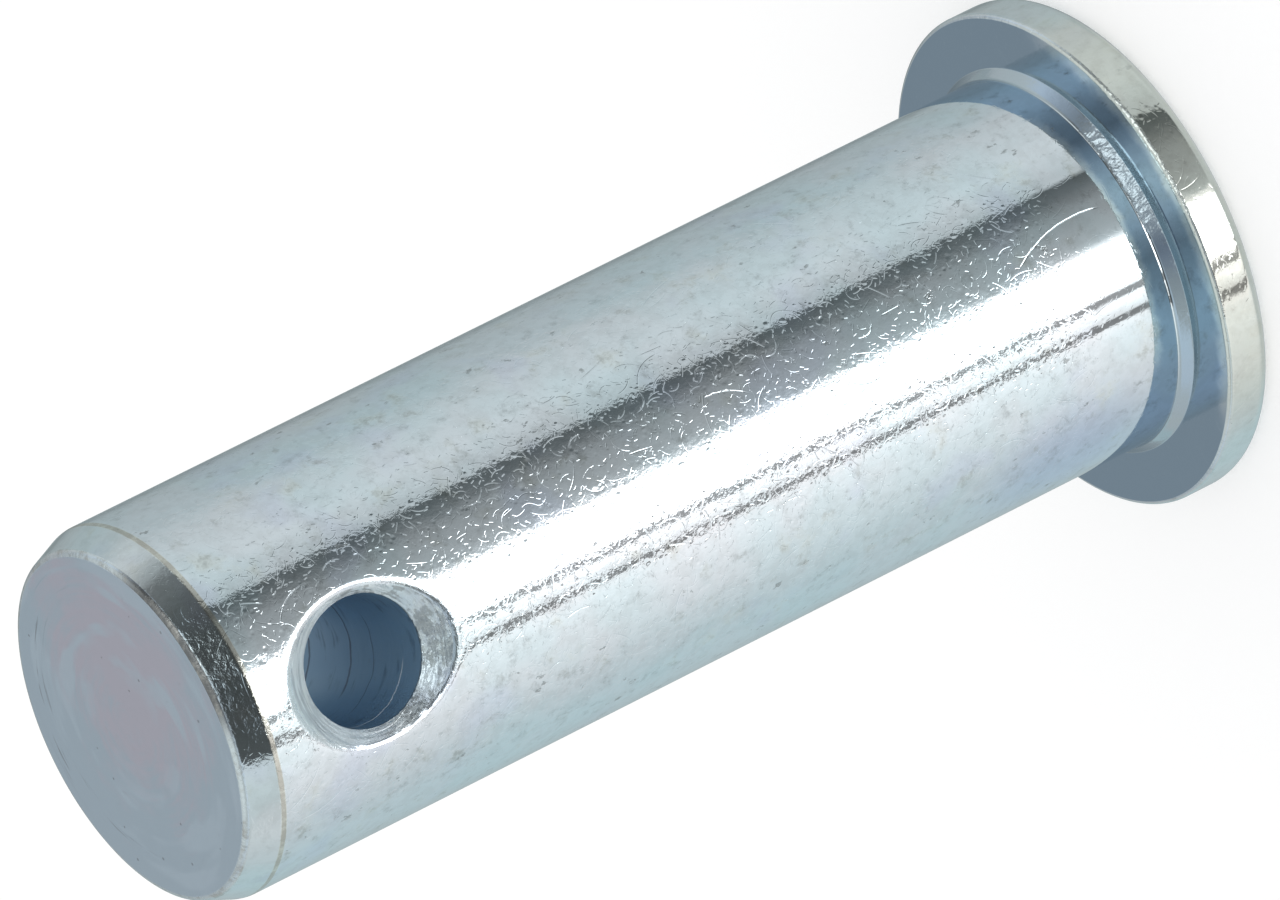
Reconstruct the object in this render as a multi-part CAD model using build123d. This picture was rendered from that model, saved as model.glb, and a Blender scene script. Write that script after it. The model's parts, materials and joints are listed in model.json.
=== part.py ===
from build123d import *
from math import radians, tan
import os

# Clevis pin: one headed steel pin with a cross-drilled hole for a split pin.
# Millimetres. The pin stands on its head: the outer face of the head lies on Z = 0,
# the axis is +Z and the tip points up. The split-pin hole runs along Y.

# Shank
shank_diameter = 12.0
length_under_head = 35.0

# Head: a thin round disc whose two rims are rounded
head_diameter = 16.0
head_thickness = 1.6
head_outer_rim_radius = 0.5
head_under_rim_radius = 0.25

# Concave neck where the shank runs into the head
neck_radius = 0.35

# Tip: a shallow lead-in cone that rolls over into a flat end face
tip_cone_length = 1.3
tip_cone_angle = 20.0
tip_face_rim_radius = 0.2

# Split-pin hole, drilled square to the axis and countersunk from both sides
split_hole_diameter = 4.0
split_hole_to_tip = 5.2
countersink_depth = 0.75
countersink_angle = 105.0
countersink_overrun = 0.5
countersink_lip_break = 0.12

# Places that follow from the sizes above
shank_radius = shank_diameter / 2
head_radius = head_diameter / 2
split_hole_radius = split_hole_diameter / 2
tip_z = head_thickness + length_under_head
tip_cone_z = tip_z - tip_cone_length
tip_face_radius = shank_radius - tip_cone_length * tan(radians(tip_cone_angle))
hole_z = tip_z - split_hole_to_tip


def round_corner(section: Sketch, radius: float, r: float, z: float) -> Sketch:
    """Round the corner of the half section that lies at radius r and height z."""
    corner = section.vertices().sort_by_distance((r, z, 0))[0]
    return fillet(corner, radius)


def turned_blank() -> Part:
    """The headed blank: its half section, with every corner rounded, revolved about the axis."""
    outline = Polyline(
        (0, 0),
        (head_radius, 0),
        (head_radius, head_thickness),
        (shank_radius, head_thickness),
        (shank_radius, tip_cone_z),
        (tip_face_radius, tip_z),
        (0, tip_z),
        close=True,
    )
    section = make_face(outline)
    section = round_corner(section, head_outer_rim_radius, head_radius, 0)
    section = round_corner(section, head_under_rim_radius, head_radius, head_thickness)
    section = round_corner(section, neck_radius, shank_radius, head_thickness)
    section = round_corner(section, tip_face_rim_radius, tip_face_radius, tip_z)
    return revolve(Plane.XZ * section, Axis.Z)


def split_pin_drill() -> Part:
    """The cutter for the split-pin hole: a drill through the shank and a cone from each side."""
    reach = shank_radius + countersink_overrun
    cone_foot = shank_radius - countersink_depth
    cone_height = reach - cone_foot
    cone_mouth_radius = split_hole_radius + cone_height * tan(radians(countersink_angle / 2))
    drill = Cylinder(split_hole_radius, 2 * reach)
    cone = Cone(
        split_hole_radius,
        cone_mouth_radius,
        cone_height,
        align=(Align.CENTER, Align.CENTER, Align.MIN),
    )
    near_cone = Pos(0, 0, cone_foot) * cone
    far_cone = Rot(180, 0, 0) * near_cone
    across_shank = Pos(0, 0, hole_z) * Rot(90, 0, 0)
    return across_shank * (drill + near_cone + far_cone)


def deburred(drilled_pin: Part) -> Part:
    """Break the lips of the countersinks, the only edges that are neither straight nor circular."""
    lips = drilled_pin.edges().filter_by(GeomType.BSPLINE)
    return chamfer(lips, countersink_lip_break)


clevis_pin = deburred(turned_blank() - split_pin_drill())

os.makedirs("parts", exist_ok=True)
export_step(clevis_pin, "parts/clevis_pin.step")
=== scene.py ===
"""Clevis pin: the dressed model of a zinc-plated headed pin, standing on its head.

The pin is one turned and drilled piece.  Its skin is rebuilt here as a fine lathe mesh with a
polar patch round each mouth of the split-pin hole, and finished as bright zinc plate.
Sizes are in millimetres until a mesh is written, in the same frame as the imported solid.
"""

from __future__ import annotations

import json
import logging
import math
from dataclasses import dataclass, fields
from enum import Enum
from types import SimpleNamespace
from typing import Any, Callable, Iterable, Sequence

import bpy
import numpy as np
from mathutils import Matrix, Vector

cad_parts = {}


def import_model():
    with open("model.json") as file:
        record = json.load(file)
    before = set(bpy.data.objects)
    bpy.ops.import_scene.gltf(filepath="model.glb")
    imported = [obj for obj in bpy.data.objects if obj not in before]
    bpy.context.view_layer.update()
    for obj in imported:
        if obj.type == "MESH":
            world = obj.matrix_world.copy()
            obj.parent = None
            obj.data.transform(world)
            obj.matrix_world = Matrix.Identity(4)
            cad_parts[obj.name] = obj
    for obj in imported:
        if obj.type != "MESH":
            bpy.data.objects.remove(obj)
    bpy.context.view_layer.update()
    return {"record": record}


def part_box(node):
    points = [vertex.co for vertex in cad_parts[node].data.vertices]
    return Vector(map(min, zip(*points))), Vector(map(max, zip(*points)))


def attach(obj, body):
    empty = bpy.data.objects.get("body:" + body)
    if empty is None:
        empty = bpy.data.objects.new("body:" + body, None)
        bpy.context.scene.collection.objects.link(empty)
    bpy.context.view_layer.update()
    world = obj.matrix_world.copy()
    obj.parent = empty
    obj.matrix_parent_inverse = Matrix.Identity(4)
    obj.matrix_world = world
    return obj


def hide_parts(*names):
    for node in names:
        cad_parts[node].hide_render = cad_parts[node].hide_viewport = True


log = logging.getLogger("clevis_pin")

MM = 0.001
PIECE = "clevis_pin"
BODY = "root"

NEAR_ZERO = 0.001

Span = tuple[float, float]
Colour = tuple[float, float, float]


# ---- Node trees ----------------------------------------------------------------------


def _operator(operation: str, swapped: bool = False) -> Callable[[Any, Any], "Signal"]:
    """Make an operator of signals from one step of arithmetic.

    Args:
        operation: The name of the step.
        swapped: Whether the signal comes second.

    Returns:
        The operator.
    """

    def operator(signal: "Signal", other: "Value") -> "Signal":
        """Take the step with a signal and a number or another signal."""
        return signal.graph.math(operation, *((other, signal) if swapped else (signal, other)))

    return operator


class Signal:
    """A number, colour or vector on its way through a node tree."""

    def __init__(self, graph: "Graph", socket: bpy.types.NodeSocket) -> None:
        """Wrap an output socket of a node in the graph."""
        self.graph = graph
        self.socket = socket

    __add__ = _operator("ADD")
    __sub__ = _operator("SUBTRACT")
    __rsub__ = _operator("SUBTRACT", swapped=True)
    __mul__ = _operator("MULTIPLY")
    __truediv__ = _operator("DIVIDE")
    __pow__ = _operator("POWER")

    def __neg__(self) -> "Signal":
        """Turn the sign round."""
        return self.graph.math("MULTIPLY", self, -1.0)

    def __pow__(self, other: "Value") -> "Signal":
        """Raise to a power."""
        return self.graph.math("POWER", self, other)

    def __abs__(self) -> "Signal":
        """Drop the sign."""
        return self.graph.math("ABSOLUTE", self)

    def parts(self) -> tuple["Signal", "Signal", "Signal"]:
        """Split a vector or a colour into its three numbers."""
        node = self.graph.node("ShaderNodeSeparateXYZ", inputs={0: self})
        return tuple(Signal(self.graph, socket) for socket in node.outputs)


Value = float | Signal


class Graph:
    """A node tree that is built by writing expressions."""

    def __init__(self, tree: bpy.types.NodeTree) -> None:
        """Empty the tree and take it over."""
        self.tree = tree
        tree.nodes.clear()

    def node(
        self,
        kind: str,
        settings: dict[str, Any] | None = None,
        inputs: dict[int | str, Any] | None = None,
    ) -> bpy.types.Node:
        """Add a node.

        Args:
            kind: The node's type.
            settings: Properties of the node, set before its sockets are used.
            inputs: A value or a link for each socket, by name or by place.

        Returns:
            The new node.
        """
        node = self.tree.nodes.new(kind)
        for name, value in (settings or {}).items():
            setattr(node, name, value)
        for key, value in (inputs or {}).items():
            if isinstance(value, Signal):
                self.tree.links.new(value.socket, node.inputs[key])
            elif value is not None:
                node.inputs[key].default_value = value
        return node

    def signal(
        self,
        kind: str,
        settings: dict[str, Any] | None = None,
        inputs: dict[int | str, Any] | None = None,
        output: int | str = 0,
    ) -> Signal:
        """Add a node and return one of its outputs, chosen by name or by place."""
        return Signal(self, self.node(kind, settings, inputs).outputs[output])

    def math(self, operation: str, *values: Value) -> Signal:
        """Work out one step of arithmetic with numbers or signals."""
        return self.signal("ShaderNodeMath", {"operation": operation}, dict(enumerate(values)))

    def vector(self, operation: str, *values: Any) -> Signal:
        """Work out one step of arithmetic with vectors."""
        settings = {"operation": operation}
        return self.signal("ShaderNodeVectorMath", settings, dict(enumerate(values)))

    def scaled(self, vector: Signal, factors: Sequence[float]) -> Signal:
        """Multiply a vector by one factor for each axis."""
        return self.vector("MULTIPLY", vector, tuple(factors))

    def joined(self, x: Value, y: Value, z: Value = 0.0) -> Signal:
        """Join three numbers into a vector."""
        return self.signal("ShaderNodeCombineXYZ", inputs={0: x, 1: y, 2: z})

    def hypot(self, x: Signal, y: Signal) -> Signal:
        """Length of the line to a place, from its two offsets."""
        return (x * x + y * y) ** 0.5

    def step(self, value: Value, low: float, high: float) -> Signal:
        """Rise smoothly from 0 to 1 as a value goes from one number to another.

        Args:
            value: The value looked at.
            low: Where the result is 0.
            high: Where the result is 1; it may lie below low.

        Returns:
            The share, from 0 to 1.
        """
        settings = {"interpolation_type": "SMOOTHSTEP"}
        if low < high:
            return self.signal("ShaderNodeMapRange", settings, {0: value, 1: low, 2: high})
        inputs = {0: value, 1: high, 2: low, 3: 1.0, 4: 0.0}
        return self.signal("ShaderNodeMapRange", settings, inputs)

    def band(self, value: Value, low: float, high: float, blur: float) -> Signal:
        """Mark the values between two numbers.

        Args:
            value: The value looked at.
            low: The lower edge.
            high: The upper edge.
            blur: Half the width of each edge.

        Returns:
            1 inside, 0 outside.
        """
        rise = self.step(value, low - blur, low + blur)
        return rise * self.step(value, high + blur, high - blur)

    def blend(self, share: Value, first: Value, second: Value) -> Signal:
        """Mix two numbers: all of the first at 0, all of the second at 1."""
        return self.signal("ShaderNodeMix", {"data_type": "FLOAT"}, {0: share, 2: first, 3: second})

    def tint(self, share: Value, first: Any, second: Any) -> Signal:
        """Mix two colours: all of the first at 0, all of the second at 1."""
        inputs = {0: share, 6: solid(first), 7: solid(second)}
        return self.signal("ShaderNodeMix", {"data_type": "RGBA"}, inputs, output=2)

    def fade(self, value: Value, fade: "Fade") -> Signal:
        """Rise from 0 to the fade's strength as a value goes from its start to its end."""
        return self.step(value, fade.start, fade.end) * fade.strength

    def layered(self, base: Any, *layers: tuple[Value, Any]) -> Signal:
        """Lay colours over one another.

        Args:
            base: The lowest colour.
            layers: Each further colour's share and the colour, from the lowest up.

        Returns:
            The colour seen.
        """
        for share, colour in layers:
            base = self.tint(share, base, colour)
        return base

    def ramp(self, value: Value, stops: Iterable[tuple[float, Colour]]) -> Signal:
        """Look a colour up along a ramp.

        Args:
            value: The place on the ramp, from 0 to 1.
            stops: Each stop's place and colour; at least two.

        Returns:
            The colour.
        """
        node = self.node("ShaderNodeValToRGB", inputs={0: value})
        elements = node.color_ramp.elements
        for index, (place, colour) in enumerate(stops):
            stop = elements[index] if index < 2 else elements.new(place)
            stop.position = place
            stop.color = solid(colour)
        return Signal(self, node.outputs[0])


def solid(colour: Any) -> Any:
    """Give a colour of three numbers its fourth; leave a signal alone."""
    return (*colour, 1.0) if isinstance(colour, tuple) and len(colour) == 3 else colour


def grey(level: float) -> Colour:
    """A neutral colour of that level."""
    return (level, level, level)


# ---- Sizes ---------------------------------------------------------------------------


@dataclass(frozen=True)
class PinSizes:
    """The driving sizes of the pin, in millimetres."""

    head_radius: float
    head_thickness: float
    shank_radius: float
    height: float
    hole_radius: float
    hole_height: float

    @classmethod
    def from_frame(cls, record: dict[str, Any]) -> "PinSizes":
        """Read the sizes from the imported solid's box and its mounts.

        Args:
            record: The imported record.

        Returns:
            The pin's sizes.
        """
        low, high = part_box(PIECE)
        mounts = {mount["name"]: mount for mount in record["mounts"]}
        shank, hole = mounts["shank"], mounts["split_pin_hole"]
        under_head = mounts["under_head_face"]
        return cls(
            head_radius=(high.x - low.x) / 2 / MM,
            head_thickness=under_head["pos_m"][2] / MM,
            shank_radius=shank["dims"]["r_mm"],
            height=high.z / MM,
            hole_radius=hole["dims"]["r_mm"],
            hole_height=hole["pos_m"][2] / MM,
        )


class Region(Enum):
    """The surfaces of the pin that are worked, plated or soiled differently."""

    OUTER_FACE = 0
    RIM = 1
    RIM_EDGE = 2
    UNDERSIDE = 3
    NECK = 4
    SHANK = 5
    CONE_EDGE = 6
    TIP_CONE = 7
    FACE_EDGE = 8
    END_FACE = 9
    LIP = 10
    COUNTERSINK = 11
    BORE = 12


@dataclass(frozen=True)
class Character:
    """How one surface looks: how deep its plating's tint is and which marks it bears.

    film runs from 0, the thin bright film, to 1, the deepest blue one, whose darker blue under the
    head and in the hole is partly painted shade; the others from 0, none.
    """

    film_and_shade: float
    turned: float = 0.0
    drilled: float = 0.0
    fluted: float = 0.0
    knocks: float = 1.0
    grime: float = 0.0
    torn: float = 0.0
    capped: float = 0.0
    matt: float = 0.0


CHARACTER = {
    Region.OUTER_FACE: Character(film_and_shade=0.1, turned=1.0, knocks=0.7, grime=0.1),
    Region.RIM: Character(film_and_shade=0.0, knocks=0.4, grime=0.25),
    Region.RIM_EDGE: Character(film_and_shade=0.08, fluted=0.85, knocks=0.8, grime=0.15, torn=0.2),
    # The underside's and the neck's blue film is partly painted shade under the head.
    Region.UNDERSIDE: Character(film_and_shade=0.5, turned=0.3, knocks=0.12),
    Region.NECK: Character(film_and_shade=0.28, fluted=1.0, knocks=0.3, grime=0.15, torn=0.05, matt=0.05),
    Region.SHANK: Character(film_and_shade=0.0),
    Region.CONE_EDGE: Character(film_and_shade=0.0, knocks=0.6, grime=0.85, torn=0.2),
    Region.TIP_CONE: Character(film_and_shade=0.0, turned=0.3, knocks=0.2, grime=0.12, torn=0.13),
    Region.FACE_EDGE: Character(
        film_and_shade=0.0, fluted=0.6, knocks=0.7, grime=0.55, torn=0.3, capped=0.6, matt=0.12
    ),
    Region.END_FACE: Character(film_and_shade=0.0, turned=0.8, knocks=0.14, capped=1.0),
    Region.LIP: Character(film_and_shade=0.0, drilled=0.1, knocks=0.5, torn=0.3, matt=0.2),
    Region.COUNTERSINK: Character(film_and_shade=0.0, drilled=0.8, knocks=0.4, grime=0.1, torn=1.0),
    # The bore's deepest blue film is partly painted shade in the hole.
    Region.BORE: Character(film_and_shade=1.0, drilled=0.8, knocks=0.2, matt=0.6),
}

MARKS = tuple(mark.name for mark in fields(Character))


# ---- Mesh ----------------------------------------------------------------------------


def graded(length: float, fine: float, coarse: float, growth: float = 1.5) -> np.ndarray:
    """Divide a length into steps that are fine at both ends and coarse between.

    Args:
        length: The length to divide.
        fine: The step at each end.
        coarse: The longest step.
        growth: How much each step may exceed the one before.

    Returns:
        The places along the length, from 0 to the length.
    """
    steps = []
    step = fine
    while step < coarse and sum(steps) + step < length / 2:
        steps.append(step)
        step *= growth
    middle = length - 2 * sum(steps)
    count = max(1, round(middle / min(step, coarse)))
    steps = steps + [middle / count] * count + steps[::-1]
    return np.concatenate([[0.0], np.cumsum(steps)])


Row = tuple[float, float, Region]


@dataclass(frozen=True)
class Corner:
    """A corner of the half section, rounded to a radius, and the surface that follows it.

    edge is the surface of the rounding itself, where that differs from both its neighbours.
    """

    r: float
    z: float
    radius: float
    after: Region
    steps: int = 8
    edge: Region | None = None


@dataclass
class Section:
    """The half section of the turned blank, from the head's outer face to the end face."""

    corners: list[Corner]
    fine: float = 0.04
    coarse: float = 0.36

    def trace(self) -> tuple[np.ndarray, list[Region]]:
        """Walk along the section.

        Returns:
            The points (r, z) in order and the surface that each belongs to.
        """
        points: list[np.ndarray] = []
        regions: list[Region] = []
        place = np.array([self.corners[0].r, self.corners[0].z])
        for before, corner, following in zip(
            self.corners, self.corners[1:], [*self.corners[2:], None]
        ):
            here = np.array([corner.r, corner.z])
            arc = np.array([here])
            if following is not None:
                arc = self._round(before, corner, following)
            span = np.linalg.norm(arc[0] - place)
            way = (arc[0] - place) / span
            for distance in graded(span, self.fine, self.coarse)[:-1]:
                points.append(place + way * distance)
                regions.append(before.after)
            for index, point in enumerate(arc[:-1]):
                points.append(point)
                nearer = before.after if index < len(arc) / 2 else corner.after
                regions.append(corner.edge if corner.edge and index > 0 else nearer)
            place = arc[-1]
        points.append(place)
        regions.append(self.corners[-2].after)
        return np.array(points), regions

    @staticmethod
    def _round(before: Corner, corner: Corner, following: Corner) -> np.ndarray:
        """Points of the arc that rounds a corner.

        Args:
            before: The corner before.
            corner: The corner to round.
            following: The corner after.

        Returns:
            The arc's points, from one tangent point to the other.
        """
        here = np.array([corner.r, corner.z])
        back = np.array([before.r, before.z]) - here
        ahead = np.array([following.r, following.z]) - here
        back /= np.linalg.norm(back)
        ahead /= np.linalg.norm(ahead)
        half_angle = math.acos(np.clip(back @ ahead, -1, 1)) / 2
        bisector = (back + ahead) / np.linalg.norm(back + ahead)
        centre = here + bisector * corner.radius / math.sin(half_angle)
        start = here + back * corner.radius / math.tan(half_angle) - centre
        end = here + ahead * corner.radius / math.tan(half_angle) - centre
        turn = math.atan2(start[0] * end[1] - start[1] * end[0], start @ end)
        angles = np.linspace(0, turn, corner.steps + 1)
        across = np.array([-start[1], start[0]])
        return centre + np.outer(np.cos(angles), start) + np.outer(np.sin(angles), across)


class Skin:
    """A growing mesh: points with their surface, and the faces between them."""

    def __init__(self) -> None:
        """Start with nothing."""
        self.points: list[np.ndarray] = []
        self.regions: list[Region] = []
        self.faces: list[tuple[int, ...]] = []

    def lay(self, points: Iterable[np.ndarray], region: Region) -> np.ndarray:
        """Add points of one surface.

        Args:
            points: The points, in millimetres.
            region: The surface that they belong to.

        Returns:
            The new points' numbers.
        """
        start = len(self.points)
        self.points.extend(np.asarray(point, float) for point in points)
        self.regions.extend([region] * (len(self.points) - start))
        return np.arange(start, len(self.points))

    def strip(self, first: Sequence[int], second: Sequence[int]) -> None:
        """Join two closed rings of the same number of points with four-sided faces.

        Args:
            first: The point numbers of the one ring.
            second: Those of the other.
        """
        count = len(first)
        for a in range(count):
            b = (a + 1) % count
            self.faces.append((first[a], first[b], second[b], second[a]))

    def grow(self, ring: np.ndarray, points: np.ndarray, region: Region) -> np.ndarray:
        """Lay a new ring and join it to the last one.

        Args:
            ring: The last ring's point numbers.
            points: The new ring's points.
            region: The surface that they belong to.

        Returns:
            The new ring's point numbers.
        """
        inner = self.lay(points, region)
        self.strip(ring, inner)
        return inner

    def at(self, numbers: Iterable[int]) -> np.ndarray:
        """The points with those numbers."""
        return np.array([self.points[number] for number in numbers])

    def fan(self, centre: int, ring: Sequence[int]) -> None:
        """Close a ring with triangles that meet at its centre."""
        for a, here in enumerate(ring):
            self.faces.append((centre, ring[(a + 1) % len(ring)], here))


def turn_near(turn: np.ndarray, other: np.ndarray | float) -> np.ndarray:
    """The same angle, wound to lie within half a turn of another."""
    return np.angle(np.exp(1j * (turn - other))) + other


@dataclass(frozen=True)
class Countersink:
    """The cone that opens each mouth of the split-pin hole, and its worn lip."""

    shank_radius: float
    hole_radius: float
    depth: float = 0.76
    angle: float = 100.0
    lip: float = 0.085
    drift_across: float = -0.12
    drift_along: float = 0.08
    ridge_pitch: float = 0.15
    ridge_height: float = 0.026
    ridge_side: float = 150.0
    chatter_height: float = 0.014
    chatter_side: float = -110.0
    far: float = 7.9
    widest: float = 1.6

    def _cone(self, x: np.ndarray, z: np.ndarray) -> tuple[np.ndarray, np.ndarray]:
        """Height of the plain cone, and how far out from the hole's wall each place lies."""
        out = np.hypot(x - self.drift_across, z - self.drift_along) - self.hole_radius
        return self.shank_radius - self.depth + out / math.tan(math.radians(self.angle / 2)), out

    def lip_reach(self, turn: np.ndarray) -> np.ndarray:
        """Find the lip.

        Args:
            turn: Directions round the hole's axis.

        Returns:
            The lip's distance from the axis in each direction.
        """
        reach = np.linspace(self.hole_radius, self.hole_radius + self.widest, 400)[:, None]
        x, z = reach * np.cos(turn), reach * np.sin(turn)
        above = self._cone(x, z)[0] > np.sqrt(self.shank_radius**2 - x**2)
        return reach[np.argmax(above, axis=0), 0]

    def surface(self, x: np.ndarray, z: np.ndarray) -> np.ndarray:
        """Height of the skin round the hole above the pin's middle plane.

        Args:
            x: Places across the shank, from the hole's axis.
            z: Places along the shank, from the hole's axis.

        Returns:
            The height at each place: the cone inside, the shank outside, with a round lip.
        """
        shank = np.sqrt(np.maximum(self.shank_radius**2 - x**2, 0))
        turn = np.arctan2(z - self.drift_along, x - self.drift_across)
        cone, out = self._cone(x, z)
        cone = cone + self._ridges(out, turn) + self._chatter(out, turn)
        gap = (shank - cone) / (4 * self.lip)
        rounded = shank - 4 * self.lip * np.logaddexp(0, gap * 4) / 4
        return np.where(np.abs(gap) < self.far, rounded, np.minimum(shank, cone))

    def _ridges(self, out: np.ndarray, turn: np.ndarray) -> np.ndarray:
        """Stair-like rings that the cutter left on one side of the cone.

        Args:
            out: Distances from the hole's wall.
            turn: Directions round the cone's axis.

        Returns:
            What they add to the cone's height.
        """
        stair = out / self.ridge_pitch + 0.35 * np.sin(2 * turn) + 0.12 * np.sin(7 * turn)
        side = np.clip(np.cos(turn - math.radians(self.ridge_side)), 0, 1) ** 1.5
        return self.ridge_height * (np.mod(stair, 1.0) - 0.5) * (0.15 + side)

    def _chatter(self, out: np.ndarray, turn: np.ndarray) -> np.ndarray:
        """Short radial facets left where the cutter shook, on the other side of the cone.

        Args:
            out: Distances from the hole's wall.
            turn: Directions round the cone's axis.

        Returns:
            What they add to the cone's height.
        """
        side = np.clip(np.cos(turn - math.radians(self.chatter_side)), 0, 1) ** 2
        facets = np.abs(np.mod(turn * 9 + 2 * out, 1.0) - 0.5)
        return self.chatter_height * (facets - 0.25) * side * np.clip(out / 0.4, 0, 1)


@dataclass
class HeadedPin:
    """The pin itself: a lathe mesh with a polar patch round each mouth of the hole."""

    sizes: PinSizes
    outer_rim_radius: float = 0.5
    under_rim_radius: float = 0.15
    neck_width: float = 0.27
    neck_height: float = 0.36
    neck_foot_rounding: float = 0.03
    neck_rounding: float = 0.28
    cone_length: float = 1.1
    cone_angle: float = 21.6
    cone_edge_radius: float = 0.55
    face_rim_radius: float = 0.24
    columns: int = 256
    patch_columns: int = 48
    patch_rows: int = 48
    patch_half_length: float = 3.6
    row_gap: float = 0.05
    lip_width: float = 0.26
    lip_share: float = 0.6
    lip_bounds: Span = (-0.3, 0.5)
    lip_rings: int = 17
    cone_rings: int = 22
    border_steps: Span = (0.03, 0.12)
    bore_end: float = 0.4
    bore_end_rings: int = 40
    bore_middle_rings: int = 10
    flat_shift: float = 40.0
    bore_shift: float = 80.0

    def __post_init__(self) -> None:
        """Start the skin, and lay out its rows and the mouth of the hole."""
        self.skin = Skin()
        self.mouth = Countersink(self.sizes.shank_radius, self.sizes.hole_radius)
        self.rows, self.first_row = self._rows()
        self.last_row = self.first_row + self.patch_rows

    def build(self) -> bpy.types.Object:
        """Make the pin's mesh and its object.

        Returns:
            The new object, in metres.
        """
        grid = self._lathe()
        self._bore(*(self._patch(grid, side) for side in (0, 1)))
        return self._object()

    def _section(self) -> Section:
        """Lay out the half section of the blank.

        Returns:
            The section.
        """
        head, shank = self.sizes.head_radius, self.sizes.shank_radius
        under, top = self.sizes.head_thickness, self.sizes.height
        face = shank - self.cone_length * math.tan(math.radians(self.cone_angle))
        cone_foot = top - self.cone_length
        return Section(
            [
                Corner(0.0, 0.0, 0.0, Region.OUTER_FACE),
                Corner(head, 0.0, self.outer_rim_radius, Region.RIM, 10),
                Corner(head, under, self.under_rim_radius, Region.UNDERSIDE, 8, Region.RIM_EDGE),
                Corner(shank + self.neck_width, under, self.neck_foot_rounding, Region.NECK, 4),
                Corner(shank, under + self.neck_height, self.neck_rounding, Region.SHANK),
                Corner(shank, cone_foot, self.cone_edge_radius, Region.TIP_CONE, 5, Region.CONE_EDGE),
                Corner(face, top, self.face_rim_radius, Region.END_FACE, 8, Region.FACE_EDGE),
                Corner(0.0, top, 0.0, Region.END_FACE),
            ]
        )

    def _rows(self) -> tuple[list[Row], int]:
        """Trace the section, with the shank's rows spaced evenly where the hole's patches join.

        Returns:
            Each row's radius, height and surface, from the outer face to the end face, and the
            number of the row at the patches' lower edge.
        """
        low = self.sizes.hole_height - self.patch_half_length
        high = self.sizes.hole_height + self.patch_half_length
        rows = [(float(r), float(z), region) for (r, z), region in zip(*self._section().trace())]
        below = [row for row in rows if row[1] < low - self.row_gap]
        above = [row for row in rows if row[1] > high + self.row_gap]
        heights = np.linspace(low, high, self.patch_rows + 1)
        even = [(self.sizes.shank_radius, float(z), Region.SHANK) for z in heights]
        return below + even + above, len(below)

    def _lathe(self) -> np.ndarray:
        """Lay the rows of the blank and the faces between them.

        The first column is the edge of the front patch.

        Returns:
            The point numbers, by row and column, with -1 inside the patches.
        """
        skin, rows = self.skin, self.rows
        step = 2 * math.pi / self.columns
        start = -math.pi / 2 - self.patch_columns / 2 * step
        half_turn = self.columns // 2
        grid = np.full((len(rows), self.columns), -1)
        for i, (r, z, region) in enumerate(rows):
            if r < NEAR_ZERO:
                continue
            for j in range(self.columns):
                if self.first_row < i < self.last_row and 0 < j % half_turn < self.patch_columns:
                    continue
                angle = start + step * j
                point = (r * math.cos(angle), r * math.sin(angle), z)
                grid[i, j] = skin.lay([np.array(point)], region)[0]
        for i in range(1, len(rows) - 2):
            for j in range(self.columns):
                if self.first_row <= i < self.last_row and j % half_turn < self.patch_columns:
                    continue
                k = (j + 1) % self.columns
                skin.faces.append((grid[i, j], grid[i, k], grid[i + 1, k], grid[i + 1, j]))
        bottom = skin.lay([np.array((0, 0, rows[0][1]))], rows[0][2])[0]
        top = skin.lay([np.array((0, 0, rows[-1][1]))], rows[-1][2])[0]
        skin.fan(bottom, list(grid[1]))
        skin.fan(top, list(grid[-2][::-1]))
        return grid

    def _patch(self, grid: np.ndarray, side: int) -> np.ndarray:
        """Fill one opening of the lathe mesh with rings that run into the countersink.

        Args:
            grid: The lathe's point numbers.
            side: 0 for the mouth towards -Y, 1 for the one towards +Y.

        Returns:
            The point numbers of the innermost ring, at the foot of the cone.
        """
        first, last = self.first_row, self.last_row
        left = side * self.columns // 2
        columns = [(left + c) % self.columns for c in range(self.patch_columns + 1)]
        border = [(first, c) for c in columns[:-1]]
        border += [(r, columns[-1]) for r in range(first, last)]
        border += [(last, c) for c in columns[:0:-1]]
        border += [(r, columns[0]) for r in range(last, first, -1)]
        ring = np.array([grid[r, c] for r, c in border])
        edge = self.skin.at(ring)
        x, z = edge[:, 0], edge[:, 2] - self.sizes.hole_height
        turn = np.arctan2(z, x)
        for distance, region in self._rings(self.mouth.lip_reach(turn), np.hypot(x, z)):
            px, pz = distance * np.cos(turn), distance * np.sin(turn)
            py = (-1.0, 1.0)[side] * self.mouth.surface(px, pz)
            points = np.stack([px, py, pz + self.sizes.hole_height], 1)
            ring = self.skin.grow(ring, points, region)
        return ring

    def _rings(self, mouth: np.ndarray, border: np.ndarray) -> Iterable[tuple[np.ndarray, Region]]:
        """Lay out the rings of a patch, from its border to the foot of the cone.

        Args:
            mouth: The lip's distance from the hole's axis in each direction.
            border: The border's distance in each direction.

        Yields:
            A ring's distance in each direction, and its surface.
        """
        foot = np.full_like(mouth, self.sizes.hole_radius)
        lip = np.minimum(self.lip_width, self.lip_share * (mouth - foot))
        for share in graded(1.0, *self.border_steps)[-2::-1]:
            yield mouth + lip + share * (border - mouth - lip), Region.SHANK
        for share in np.linspace(1, -1, self.lip_rings)[1:]:
            region = Region.SHANK if share > self.lip_bounds[1] else Region.LIP
            if share < self.lip_bounds[0]:
                region = Region.COUNTERSINK
            yield mouth + share * lip, region
        for share in np.linspace(1, 0, self.cone_rings)[1:]:
            yield foot + share * (mouth - lip - foot), Region.COUNTERSINK

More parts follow.
